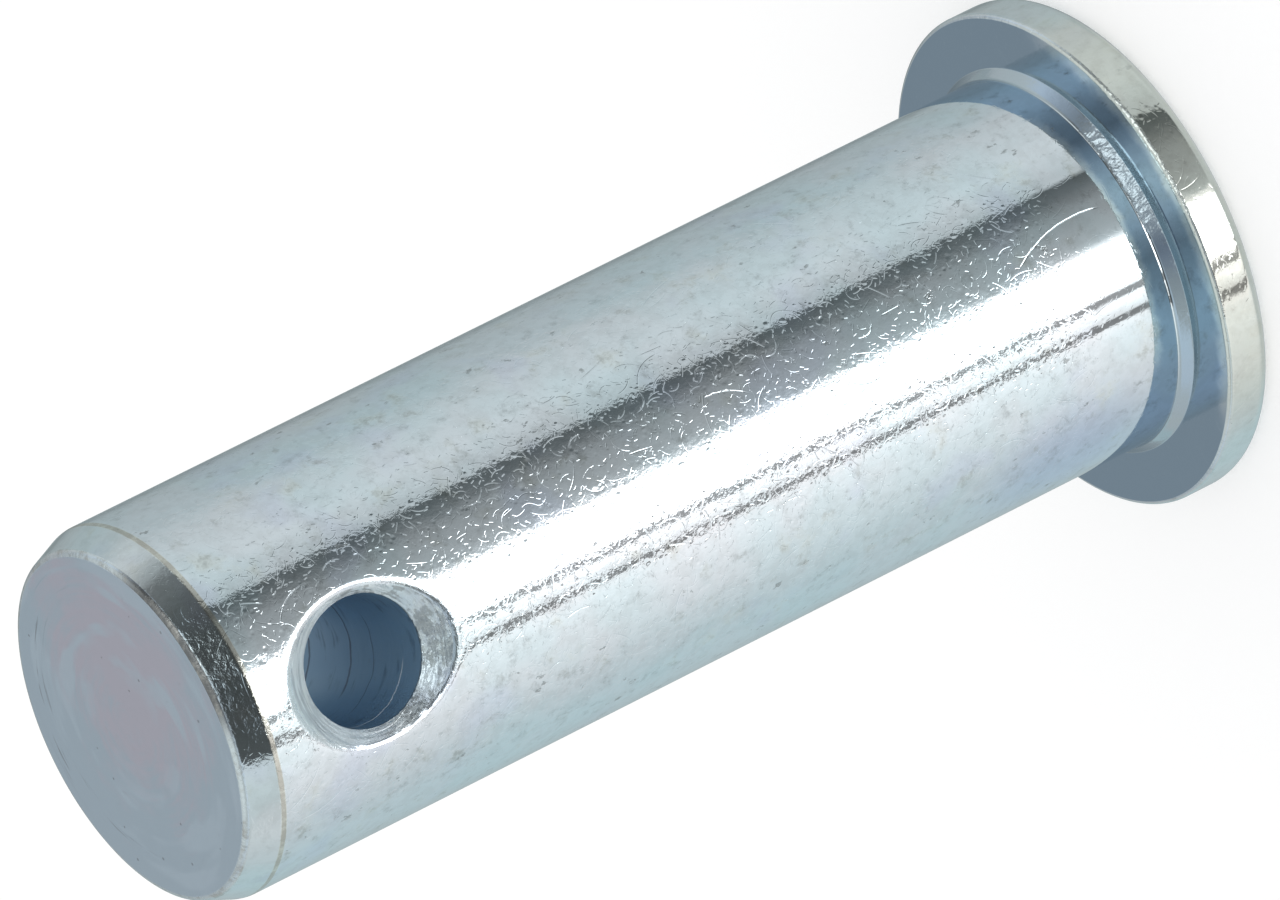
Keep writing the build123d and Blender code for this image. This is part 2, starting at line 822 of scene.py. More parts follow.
    def _bore(self, front: np.ndarray, back: np.ndarray) -> None:
        """Line the hole from one mouth to the other.

        Args:
            front: The innermost ring at the -Y mouth.
            back: The innermost ring at the +Y mouth.
        """
        near, far = self.skin.at(front), self.skin.at(back)
        height = self.sizes.hole_height
        turns = np.arctan2(far[:, 2] - height, far[:, 0])
        order = []
        for point in near:
            turn = math.atan2(point[2] - height, point[0])
            order.append(int(np.argmin(np.abs(turn_near(turns, turn) - turn))))
        fine = np.linspace(0, self.bore_end, self.bore_end_rings)
        middle = np.linspace(self.bore_end, 1 - self.bore_end, self.bore_middle_rings)[1:-1]
        shares = np.concatenate([fine, middle, 1 - fine[::-1]])
        ring = front
        for share in shares[1:-1]:
            ring = self.skin.grow(ring, near + (far[order] - near) * share, Region.BORE)
        self.skin.strip(ring, [back[number] for number in order])

    def _object(self) -> bpy.types.Object:
        """Write the skin into a mesh object, with its surfaces as attributes.

        Returns:
            The object.
        """
        points = np.array(self.skin.points)
        faces = [tuple(map(int, face)) for face in self.skin.faces]
        mesh = bpy.data.meshes.new(PIECE)
        mesh.from_pydata((points * MM).tolist(), [], faces)
        mesh.validate()
        mesh.shade_smooth()
        for name in MARKS:
            layer = mesh.attributes.new(name, "FLOAT", "POINT")
            values = [getattr(CHARACTER[region], name) for region in self.skin.regions]
            layer.data.foreach_set("value", np.array(values, np.float32))
        self._unroll(mesh, points)
        pin = bpy.data.objects.new(PIECE + "_skin", mesh)
        bpy.context.scene.collection.objects.link(pin)
        return pin

    def _unroll(self, mesh: bpy.types.Mesh, points: np.ndarray) -> None:
        """Lay the skin out flat, in millimetres, for marks that lie in it.

        Args:
            mesh: The mesh to give the layout.
            points: Its points.
        """
        layer = mesh.uv_layers.new(name="surface")
        corners = np.zeros(len(mesh.loops), int)
        starts = np.zeros(len(mesh.polygons), int)
        totals = np.zeros(len(mesh.polygons), int)
        mesh.loops.foreach_get("vertex_index", corners)
        mesh.polygons.foreach_get("loop_start", starts)
        mesh.polygons.foreach_get("loop_total", totals)
        face_of = np.repeat(np.arange(len(starts)), totals)
        centres = np.add.reduceat(points[corners], starts, axis=0) / totals[:, None]
        numbers = np.array([region.value for region in self.skin.regions])
        region = numbers[corners[starts]][face_of]
        flats = (Region.OUTER_FACE, Region.UNDERSIDE, Region.END_FACE)
        flat = np.isin(region, [face.value for face in flats])
        bored = region == Region.BORE.value
        p, c = points[corners], centres[face_of]
        uv = np.zeros((len(corners), 2))
        turn = turn_near(np.arctan2(p[:, 1], p[:, 0]), np.arctan2(c[:, 1], c[:, 0]))
        uv[:, 0] = turn * self.sizes.shank_radius
        uv[:, 1] = p[:, 2]
        uv[flat] = p[flat][:, :2] + self.flat_shift
        p[:, 2] -= self.sizes.hole_height
        c[:, 2] -= self.sizes.hole_height
        turn = turn_near(np.arctan2(p[:, 2], p[:, 0]), np.arctan2(c[:, 2], c[:, 0]))
        uv[bored, 0] = (turn * self.sizes.hole_radius)[bored] + self.bore_shift
        uv[bored, 1] = p[bored, 1]
        layer.uv.foreach_set("vector", uv.astype(np.float32).ravel())


# ---- Finish --------------------------------------------------------------------------


@dataclass(frozen=True)
class Cloud:
    """Cloudy noise, or the patches where it is strong.

    per_mm counts its features to the millimetre, and its patches fade in between the levels low
    and high.  strength is its weight; detail and rough say how broken it is.
    """

    per_mm: float
    low: float = 0.0
    high: float = 1.0
    strength: float = 1.0
    detail: float = 2.0
    rough: float = 0.5


@dataclass(frozen=True)
class Fade:
    """Where something starts to show, where it is full, and how strong it is then."""

    start: float
    end: float
    strength: float = 1.0


@dataclass(frozen=True)
class Rings:
    """Fine rings round an axis: how many to the millimetre, how they wander, and their detail."""

    per_mm: float
    wander: float
    detail: float = 2.0
    rough: float = 0.5


@dataclass(frozen=True)
class Stroke:
    """A family of short scratches, one to each cell of a random pattern, in millimetres."""

    cell: float
    length: float
    width: float
    depth: float
    share: float
    bow: float
    seed: float


@dataclass(frozen=True)
class Dimple:
    """A family of shallow round dimples, one to each cell of a random pattern, in millimetres."""

    cell: float
    radius: float
    depth: float
    share: float
    seed: float


@dataclass(frozen=True)
class Score:
    """One long curved scratch: part of a circle in the unrolled shank, in millimetres."""

    centre: Span = (-11.42, 3.95)
    radius: float = 4.57
    ends: Span = (3.15, 6.3)
    end_blur: float = 0.25
    half_width: float = 0.036
    depth: float = 0.0075
    wobble: Cloud = Cloud(2.5, strength=0.05)


@dataclass(frozen=True)
class ToolMark:
    """One thin ring that the drill left in the hole: its depth, its side and how it shows."""

    depth: float
    side: Span
    half_width: float
    least_facing: float
    colour: Colour
    matt: float


@dataclass(frozen=True)
class ZincPlate:
    """Bright zinc plate with a clear blue film, tumbled with other parts; sizes in millimetres."""

    hole_height: float

    teal_film: Colour = (0.602, 0.733, 0.778)
    rosy_film: Colour = (0.642, 0.726, 0.770)
    straw_film: Colour = (0.655, 0.72, 0.66)
    warm_film: Colour = (0.60, 0.645, 0.57)
    violet_film: Colour = (0.57, 0.655, 0.80)
    # The blue and deepest blue films are partly painted shade under the head and in the hole.
    blue_film: Colour = (0.292, 0.392, 0.457)
    deep_film_and_shade: Colour = (0.262, 0.422, 0.565)
    face_middle: Colour = (0.61, 0.596, 0.645)
    face_outer: Colour = (0.520, 0.627, 0.680)
    face_arc: Colour = (0.580, 0.690, 0.745)
    bruise: Colour = (0.50, 0.59, 0.74)
    # Pale tint on the countersink's tipward half: partly its frosted finish, partly painted light.
    frost_and_painted_light: Colour = (0.82, 0.95, 1.0)
    # Dark tint for real smudges, nicks and pits, and painted shade on the countersink's headward half
    # and on the side of flutes and edges facing one bearing.
    soot_and_painted_shade: Colour = (0.215, 0.245, 0.245)
    grime: Colour = (0.375, 0.385, 0.36)
    edge_shade: Colour = (0.09, 0.09, 0.09)
    groove_dimming: Colour = (0.35, 0.35, 0.4)
    mottle_dimming: Colour = (0.86, 0.85, 0.84)

    clouds: Cloud = Cloud(0.3, 0.36, 0.64, detail=3.0)
    straw: Cloud = Cloud(0.85, 0.56, 0.74, 0.4, 4.0, 0.6)
    lilac: Cloud = Cloud(0.4, 0.54, 0.7, 0.4)
    lilac_shift: Colour = (31.0, 7.0, 3.0)
    smudges: Cloud = Cloud(1.7, 0.52, 0.74, 0.42, 5.0, 0.72)
    bruise_centre: Span = (-14.4, 6.0)
    bruise_flattening: float = 0.5
    bruised: Fade = Fade(3.2, 0.6, 0.8)
    bruise_follows: Span = (2.0, 1.5)

    film_turns_blue: Fade = Fade(0.0, 0.5)
    film_turns_deep: Fade = Fade(0.5, 1.0)
    film_holds_lines: Fade = Fade(0.6, 1.0, 0.8)
    film_holds_mottle: Fade = Fade(0.2, 0.0)

    # The side of the flutes and edges facing one bearing: its dullness and bumps are wear, its darker
    # tint is painted shade.
    worn_and_shaded_bearing: float = 28.5
    worn_and_shaded_facing: Fade = Fade(0.925, 0.978)
    worn_painted_shade: float = 0.15
    worn_matt: float = 0.45
    rubbed_bearing: float = 14.0
    rubbed_facing: Fade = Fade(0.45, 0.75)
    rubbed_radius: Fade = Fade(7.2, 7.9)
    rubbed_drift: Cloud = Cloud(1.0, strength=0.9)
    rubbed_warmth: float = 0.6
    rubbed_film_loss: float = 0.85
    edge_shade_bearing: float = 31.0
    edge_shade_facing: Fade = Fade(0.80, 0.95, 0.9)
    edge_shade_share: Fade = Fade(0.05, 0.3)

    soil: Cloud = Cloud(2.2, detail=4.0, rough=0.65)
    mottle: Fade = Fade(0.42, 0.62, 0.45)
    face_mottle_loss: float = 0.85
    dirt: Fade = Fade(0.72, 0.94, 0.65)
    dirt_follows_grime: float = 0.5
    dirt_needs_grime: Fade = Fade(0.0, 0.3)
    nick_shapes: Cloud = Cloud(2.5, 0.630, 0.690, detail=4.0, rough=0.66)
    nick_clusters: Cloud = Cloud(0.6, 0.47, 0.58)
    nick_stretch: Colour = (1.0, 1.0, 0.7)
    nick_soot: float = 0.65
    nick_depth: float = 0.004

    face_centre: Span = (1.6, -0.9)
    face_reach: Fade = Fade(1.6, 5.2)
    face_drift: Cloud = Cloud(0.55, strength=7.0, detail=4.0, rough=0.6)
    face_turning: float = 5.0
    sweeps: Rings = Rings(1.1, wander=1.1)
    sweep_level: Fade = Fade(0.50, 0.64, 0.8)
    sweep_radius: Fade = Fade(1.0, 3.0)
    dash_level: Fade = Fade(0.575, 0.62)
    dash_radius: Span = (4.3, 5.0)
    dash_blur: float = 0.2
    dash_side: Fade = Fade(0.1, 0.5)
    pits: Dimple = Dimple(cell=1.5, radius=0.075, depth=0.0, share=0.5, seed=23.0)
    pit_level: Fade = Fade(0.25, 0.6)
    pit_soot: float = 0.55

    sunk: Fade = Fade(0.5, 1.0)
    tipward: Fade = Fade(-0.2, 0.6)
    # The countersink's tipward half is tinted paler: partly frost, partly painted light.
    frost_and_light_share: float = 0.35
    troughs: Fade = Fade(0.53, 0.42, 0.38)
    # The countersink's headward half is painted darker: painted shade.
    shade: Fade = Fade(0.62, 0.54, 0.58)
    shade_follows: Span = (0.8, 0.4)
    streaks: Cloud = Cloud(3.0, strength=2.7, detail=3.0, rough=0.65)
    flecks: Cloud = Cloud(6.0, 0.53, 0.60, 1.25, 2.0, 0.6)
    fleck_floor: float = 0.06
    grooves: Fade = Fade(0.50, 0.36, 0.6)
    groove_breaks: Cloud = Cloud(0.9, 0.46, 0.60)
    tool_marks: tuple[ToolMark, ...] = (
        ToolMark(4.15, (-0.97, -0.22), 0.035, 0.5, (0.85, 0.90, 0.92), 1.2),
        ToolMark(1.2, (-0.217, -0.977), 0.07, 0.62, (0.09, 0.12, 0.17), 0.0),
        ToolMark(2.5, (-0.5, -0.86), 0.04, 0.6, (0.14, 0.20, 0.28), 0.0),
    )
    tool_wobble: Cloud = Cloud(1.6, strength=0.22)

    roughness: float = 0.03
    scuffs: Cloud = Cloud(3.0, 0.52, 0.72, 0.11, 4.0, 0.65)
    scuff_stretch: Colour = (1.0, 1.0, 0.5)
    nick_roughness: float = 0.2
    dullness: tuple[tuple[str, float], ...] = (
        ("drilled", 0.14),
        ("capped", 0.08),
        ("grime", 0.12),
        ("torn", 0.14),
    )
    matt_roughness: float = 0.4
    matt_metal_loss: float = 0.55

    turning: Rings = Rings(5.0, wander=0.9, detail=4.0, rough=0.6)
    turned_depth: float = 0.004
    drilling: Rings = Rings(4.5, wander=1.6, detail=3.0, rough=0.55)
    drilled_depth: float = 0.009
    chatter_depth: float = 0.022
    waves: Cloud = Cloud(1.7, strength=0.008, detail=1.0)
    grain: Cloud = Cloud(7.0, strength=0.0030, rough=0.6)
    facets: Cloud = Cloud(3.6, strength=0.055, rough=0.6)
    torn: Cloud = Cloud(4.5, strength=0.06, detail=3.0, rough=0.6)
    torn_patches: Cloud = Cloud(1.1, 0.42, 0.60, 0.8, 1.0)
    torn_everywhere: float = 0.35
    calm_from: Fade = Fade(1.65, 1.9)
    calm_to: Fade = Fade(5.8, 4.0)
    calm: float = 0.92
    calm_lost_where_worn: float = 0.3
    strokes: tuple[Stroke, ...] = (
        Stroke(cell=0.42, length=0.30, width=0.022, depth=0.0030, share=0.75, bow=0.6, seed=3.0),
        Stroke(cell=0.75, length=0.50, width=0.026, depth=0.0044, share=0.7, bow=0.6, seed=17.0),
        Stroke(cell=1.6, length=0.95, width=0.030, depth=0.0055, share=0.4, bow=0.5, seed=29.0),
        Stroke(cell=0.24, length=0.09, width=0.024, depth=0.0050, share=0.8, bow=0.3, seed=31.0),
    )
    dimples: tuple[Dimple, ...] = (
        Dimple(cell=0.28, radius=0.075, depth=0.0035, share=0.55, seed=5.0),
        Dimple(cell=0.60, radius=0.12, depth=0.0062, share=0.4, seed=11.0),
    )
    score: Score = Score()

    def make(self) -> bpy.types.Material:
        """Build the material."""
        return PlateShader(self).material


class PlateShader:
    """The node tree that lays zinc plate on the pin."""

    def __init__(self, plate: ZincPlate) -> None:
        """Build the material.

        Args:
            plate: The finish to lay.
        """
        self.plate = plate
        self.material = bpy.data.materials.new("zinc_plate")
        self.material.use_nodes = True
        g = self.g = Graph(self.material.node_tree)
        self.place = g.scaled(g.signal("ShaderNodeTexCoord", output="Object"), (1 / MM,) * 3)
        self.unrolled = g.signal("ShaderNodeUVMap", {"uv_map": "surface"})
        layers = ((name, {"attribute_name": name}) for name in MARKS)
        kind = "ShaderNodeAttribute"
        self.marks = SimpleNamespace(**{n: g.signal(kind, s, output="Fac") for n, s in layers})
        self.x, self.y, self.z = self.place.parts()
        self.radius = g.hypot(self.x, self.y)
        self.reach = self.radius + NEAR_ZERO
        self.hole_z = self.z - plate.hole_height
        self.hole_reach = g.hypot(self.x, self.hole_z) + NEAR_ZERO
        self.turning = self._rings(plate.turning, self.reach + self.z)
        self.drilling = self._rings(plate.drilling, self.hole_reach + abs(self.y), drilled=True)
        self.tipward = g.fade(self.hole_z / self.hole_reach, plate.tipward)
        self.sunk = g.fade(self.marks.torn, plate.sunk)
        self.nicks = self._nicks() * self.marks.knocks
        # The side of the flutes and edges that faces one bearing: battered, and painted darker as
        # shade.
        worn_and_shaded_side = g.fade(self._facing(plate.worn_and_shaded_bearing), plate.worn_and_shaded_facing)
        self.battered_and_shaded = worn_and_shaded_side * self.marks.fluted
        self._finish()

    def _finish(self) -> None:
        """Join colour, gloss and relief in the shader."""
        g, plate = self.g, self.plate
        matt = self.marks.matt + self._frosting() + self.battered_and_shaded * plate.worn_matt
        for mark in plate.tool_marks:
            if mark.matt:
                matt = matt + self._tool_mark(mark) * self.marks.film_and_shade * mark.matt
        relief = {"Distance": MM, "Height": self._relief()}
        inputs = {
            "Base Color": self._colour(),
            "Metallic": 1.0 - matt * plate.matt_metal_loss,
            "Roughness": self._roughness() + matt * plate.matt_roughness,
            "Normal": g.signal("ShaderNodeBump", inputs=relief),
        }
        shader = g.signal("ShaderNodeBsdfPrincipled", inputs=inputs)
        g.node("ShaderNodeOutputMaterial", inputs={0: shader})

    def _noise(self, cloud: Cloud, place: Signal | None = None) -> Signal:
        """Cloudy noise from 0 to 1.

        Args:
            cloud: The noise wanted.
            place: Where to look it up, if not at the place in the frame; flat in the skin.

        Returns:
            The noise.
        """
        settings = {"noise_dimensions": "2D"} if place is self.unrolled else {}
        vector = place or self.place
        inputs = {"Vector": vector, "Scale": cloud.per_mm, "Detail": cloud.detail}
        inputs["Roughness"] = cloud.rough
        return self.g.signal("ShaderNodeTexNoise", settings, inputs)

    def _patches(self, cloud: Cloud, place: Signal | None = None) -> Signal:
        """Patches of noise, from 0 to the cloud's strength."""
        return self.g.step(self._noise(cloud, place), cloud.low, cloud.high) * cloud.strength

    def _swell(self, cloud: Cloud, place: Signal | None = None) -> Signal:
        """Noise on both sides of zero, as far apart as the cloud's strength."""
        return (self._noise(cloud, place) - 0.5) * cloud.strength

    def _rings(self, rings: Rings, along: Signal, drilled: bool = False) -> Signal:
        """Fine rings, from 0 to 1, as a tool leaves them.

        Args:
            rings: How fine they are.
            along: What the rings divide.
            drilled: Whether they run round the hole's axis or, if not, round the pin's.

        Returns:
            The rings.
        """
        reach = self.hole_reach if drilled else self.reach
        side = self.hole_z if drilled else self.y
        wander = (self.x / reach * rings.wander, side / reach * rings.wander)
        line = self.g.joined(along * rings.per_mm, *wander)
        return self._noise(Cloud(1.0, detail=rings.detail, rough=rings.rough), line)

    def _facing(self, bearing: float) -> Signal:
        """How squarely each place faces a bearing, from -1 to 1."""
        turn = math.radians(bearing)
        return (self.x * math.sin(turn) - self.y * math.cos(turn)) / self.reach

    def _from_centre(self, centre: Span) -> tuple[Signal, Signal]:
        """Offsets in the skin from a point of it, in millimetres."""
        across, along, _ = self.g.vector("SUBTRACT", self.unrolled, (*centre, 0.0)).parts()
        return across, along

    def _cells(self, cell: float, seed: float) -> tuple[Signal, bpy.types.Node]:
        """Split the skin into random cells.

        Args:
            cell: The mean size of a cell.
            seed: Where in the pattern to start.

        Returns:
            The places, in cells, and the node of the cells.
        """
        places = self.g.vector("ADD", self.g.scaled(self.unrolled, (1 / cell,) * 3), (seed,) * 3)
        inputs = {"Vector": places, "Scale": 1.0}
        return places, self.g.node("ShaderNodeTexVoronoi", {"voronoi_dimensions": "2D"}, inputs)

    def _stroke(self, stroke: Stroke) -> Signal:
        """Short curved scratches, each turned its own way.

        Args:
            stroke: The family's sizes.

        Returns:
            How deep in a scratch each place lies, from 0 to 1.
        """
        g = self.g
        places, node = self._cells(stroke.cell, stroke.seed)
        luck, bend, chance = Signal(g, node.outputs["Color"]).parts()
        dx, dy, _ = g.vector("SUBTRACT", places, Signal(g, node.outputs["Position"])).parts()
        angle = luck * (2 * math.pi)
        cosine, sine = g.math("COSINE", angle), g.math("SINE", angle)
        along = dx * cosine + dy * sine
        bowed = (bend - 0.5) * (stroke.bow * 4) * along * along
        across = abs(dy * cosine - dx * sine + bowed)
        width, reach = stroke.width / stroke.cell, stroke.length / stroke.cell
        groove = g.step(across, width, 0.0) * g.step(abs(along), reach, reach / 2)
        return groove * g.step(chance, stroke.share, stroke.share * 0.3)

    def _dimple(self, dimple: Dimple) -> Signal:
        """Shallow round dimples of uneven size, from 0 outside to 1 at the bottom.

        Args:
            dimple: The family's sizes.

        Returns:
            How deep in a dimple each place lies.
        """
        _, node = self._cells(dimple.cell, dimple.seed)
        luck, _, chance = Signal(self.g, node.outputs["Color"]).parts()
        distance = Signal(self.g, node.outputs["Distance"]) / (luck * 0.8 + 0.6)
        bowl = self.g.step(distance, dimple.radius / dimple.cell, 0.0)
        return bowl * self.g.step(chance, dimple.share, dimple.share / 2)

    def _scored(self) -> Signal:
        """The one long scratch near the head.

        Returns:
            0 beside it, 1 in its bottom.
        """
        g, score = self.g, self.plate.score
        dx, dy = self._from_centre(score.centre)
        across = abs(g.hypot(dx, dy) - score.radius + self._swell(score.wobble))
        height = self.unrolled.parts()[1]
        length = g.band(height, *score.ends, score.end_blur) * g.math("GREATER_THAN", dx, 0.0)
        return g.step(across, score.half_width, 0.0) * length

    def _nicks(self) -> Signal:
        """Small ragged dark nicks, in loose clusters.

        Returns:
            How strongly they show, from 0 to 1.
        """
        drawn_out = self.g.scaled(self.place, self.plate.nick_stretch)
        ragged = self._patches(self.plate.nick_shapes, drawn_out)
        return ragged * self._patches(self.plate.nick_clusters)

    def _frosting(self) -> Signal:
        """The matt tipward half of the countersink and the flecks on its other half; the half's pale
        tint, laid in the colour, is partly painted light.

        Returns:
            How matt they are, from 0.
        """
        plate = self.plate
        streaks = self._noise(plate.streaks) * plate.streaks.strength
        flecks = self._patches(plate.flecks) + plate.fleck_floor
        return self.g.blend(self.tipward, flecks, streaks) * self.sunk

    def _tool_mark(self, mark: ToolMark) -> Signal:
        """One ring that the drill left on one side of the hole.

        Args:
            mark: The ring.

        Returns:
            How strongly it shows, from 0 to 1.
        """
        side_x, side_z = mark.side
        facing = (self.x * side_x + self.hole_z * side_z) / self.hole_reach
        depth = abs(self.y) + self._swell(self.plate.tool_wobble)
        near = self.g.step(abs(depth - mark.depth), mark.half_width, mark.half_width * 0.3)
        return near * self.g.step(facing, mark.least_facing, mark.least_facing + 0.2)

    def _colour(self) -> Signal:
        """The plate's colour: film with its painted shade, mottle, the countersink's painted light
        and shade, painted shade on edges, then dirt.

        Returns:
            The colour.
        """
        g, plate, marks = self.g, self.plate, self.marks
        soil = self._noise(plate.soil)
        film_and_shade = self._film_and_shade()
        mottle = g.fade(soil, plate.mottle) * g.fade(marks.film_and_shade, plate.film_holds_mottle)
        mottle = mottle * (1.0 - marks.capped * plate.face_mottle_loss)
        frosted_and_lit_half = self.sunk * self.tipward
        by_soil, by_drilling = plate.shade_follows
        shaded = g.fade(soil * by_soil + self.drilling * by_drilling, plate.shade)
        edge = g.fade(marks.capped * marks.fluted, plate.edge_shade_share)
        near = g.fade(self._facing(plate.edge_shade_bearing), plate.edge_shade_facing)
        dirt = g.fade(soil + marks.grime * plate.dirt_follows_grime, plate.dirt)
        return g.layered(
            film_and_shade,
            (mottle, g.scaled(film_and_shade, plate.mottle_dimming)),
            # Painted light on the countersink's tipward half, partly its frosted finish; then darker
            # blue film in the drill's troughs.
            (frosted_and_lit_half * plate.frost_and_light_share, plate.frost_and_painted_light),
            (frosted_and_lit_half * g.fade(self.drilling, plate.troughs), plate.blue_film),
            # Painted shade on the countersink's headward half.
            (self.sunk * shaded * (1.0 - self.tipward), plate.soot_and_painted_shade),
            (edge * near, plate.edge_shade),
            # Painted shade on the side of the flutes and edges that faces one bearing.
            (self.battered_and_shaded * plate.worn_painted_shade, plate.soot_and_painted_shade),
            (dirt * g.fade(marks.grime, plate.dirt_needs_grime), plate.grime),
            (self.nicks * plate.nick_soot, plate.soot_and_painted_shade),
        )

    def _film_and_shade(self) -> Signal:
        """The film: blue where it is thick, its darker blue under the head and in the hole partly
        painted shade; rubbed off where parts reach, lined by the drill.

        Returns:
            Its colour.
        """
        g, plate, marks = self.g, self.plate, self.marks
        rubbed = g.fade(self.radius + self._swell(plate.rubbed_drift), plate.rubbed_radius)
        rubbed = rubbed * g.fade(self._facing(plate.rubbed_bearing), plate.rubbed_facing)
        left = marks.film_and_shade * (1.0 - rubbed * plate.rubbed_film_loss)
        film_and_shade = g.layered(
            self._thin_film(),
            (rubbed * plate.rubbed_warmth, plate.warm_film),
            # Blue and deepest blue film, partly painted shade under the head and in the hole.
            (g.fade(left, plate.film_turns_blue), plate.blue_film),
            (g.fade(marks.film_and_shade, plate.film_turns_deep), plate.deep_film_and_shade),
        )
        grooves = g.fade(self.drilling, plate.grooves) * marks.drilled
        grooves = grooves * self._patches(plate.groove_breaks)
        lined = g.fade(marks.film_and_shade, plate.film_holds_lines)
        lines = [(self._tool_mark(mark) * lined, mark.colour) for mark in plate.tool_marks]
        return g.layered(film_and_shade, (grooves, g.scaled(film_and_shade, plate.groove_dimming)), *lines)

    def _thin_film(self) -> Signal:
        """The film where it is thin: clouds, stains, smudges and the end face.

        Returns:
            Its colour.
        """
        g, plate, marks = self.g, self.plate, self.marks
        straw = self._patches(plate.straw)
        lilac = self._patches(plate.lilac, g.vector("ADD", self.place, plate.lilac_shift))
        dx, dy = self._from_centre(plate.bruise_centre)
        by_lilac, by_straw = plate.bruise_follows
        spread = (dx * dx + dy * dy * plate.bruise_flattening) ** 0.5
        spread = spread + lilac * by_lilac + straw * by_straw
        return g.layered(
            plate.teal_film,
            (self._patches(plate.clouds), plate.rosy_film),
            (straw, plate.straw_film),
            (lilac, plate.violet_film),
            (g.fade(spread, plate.bruised), plate.bruise),
            (self._patches(plate.smudges) * marks.knocks, plate.soot_and_painted_shade),
            (marks.grime, plate.warm_film),
            (marks.capped, self._face()),
        )

    def _face(self) -> Signal:
        """Colour of the end face.

        Returns:
            Rosy in the middle, blue-green outside, with paler arcs, dark pits and dashes.
        """
        g, plate = self.g, self.plate
        centre_x, centre_y = plate.face_centre
        reach = g.hypot(self.x - centre_x, self.y - centre_y)
        uneven = self._swell(plate.face_drift) + (self.turning - 0.5) * plate.face_turning
        swept = g.fade(self._rings(plate.sweeps, self.reach), plate.sweep_level)
        dashes = g.fade(self.turning, plate.dash_level)
        dashes = dashes * g.band(self.reach, *plate.dash_radius, plate.dash_blur)
        dashes = dashes * g.fade(self.y / self.reach, plate.dash_side)
        dark = g.math("MINIMUM", g.fade(self._dimple(plate.pits), plate.pit_level) + dashes, 1.0)
        return g.layered(
            plate.face_middle,
            (g.fade(reach + uneven, plate.face_reach), plate.face_outer),
            (swept * g.fade(self.reach, plate.sweep_radius), plate.face_arc),
            (dark * plate.pit_soot, plate.soot_and_painted_shade),
        )

    def _roughness(self) -> Signal:
        """Polished by tumbling, duller in the worked recesses and the dirt.

        Returns:
            The roughness.
        """
        plate, marks = self.plate, self.marks
        scuffs = self._patches(plate.scuffs, self.g.scaled(self.place, plate.scuff_stretch))
        rough = scuffs * marks.knocks + self.nicks * plate.nick_roughness + plate.roughness
        for name, dullness in plate.dullness:
            rough = rough + getattr(marks, name) * dullness
        return rough

    def _relief(self) -> Signal:
        """Height of the finest marks.

        Returns:
            The height, in millimetres.
        """
        g, plate, marks = self.g, self.plate, self.marks
        knocked = self._swell(plate.waves) + self._swell(plate.grain, self.unrolled)
        knocked = knocked - self.nicks * plate.nick_depth
        for stroke in plate.strokes:
            knocked = knocked - self._stroke(stroke) * stroke.depth
        for dimple in plate.dimples:
            knocked = knocked - self._dimple(dimple) * dimple.depth
        calm = g.fade(self.z, plate.calm_from) * g.fade(self.z, plate.calm_to)
        calm = calm * (plate.calm - self.battered_and_shaded * plate.calm_lost_where_worn)
        knocked = knocked * (1.0 - calm) - self._scored() * plate.score.depth
        turned, drilled = self.turning - 0.5, self.drilling - 0.5
        patchy = self._patches(plate.torn_patches) + plate.torn_everywhere
        torn = self._swell(plate.torn) * patchy + drilled * plate.chatter_depth
        worked = turned * plate.turned_depth * marks.turned
        worked = worked + drilled * plate.drilled_depth * marks.drilled + torn * marks.torn
        worked = worked + self._swell(plate.facets, self.unrolled) * self.battered_and_shaded
        return knocked * marks.knocks + worked


# ---- Studio --------------------------------------------------------------------------


def direction(bearing: float, height: float) -> Vector:
    """The way towards a bearing and a height, both in degrees."""
    a, h = math.radians(bearing), math.radians(height)
    return Vector((math.sin(a) * math.cos(h), -math.cos(a) * math.cos(h), math.sin(h)))


@dataclass(frozen=True)
class Seam:
    """A dark upright seam in the tent's wall: its bearing, its width and how dark it is."""

    middle: float
    half_width: float
    depth: float


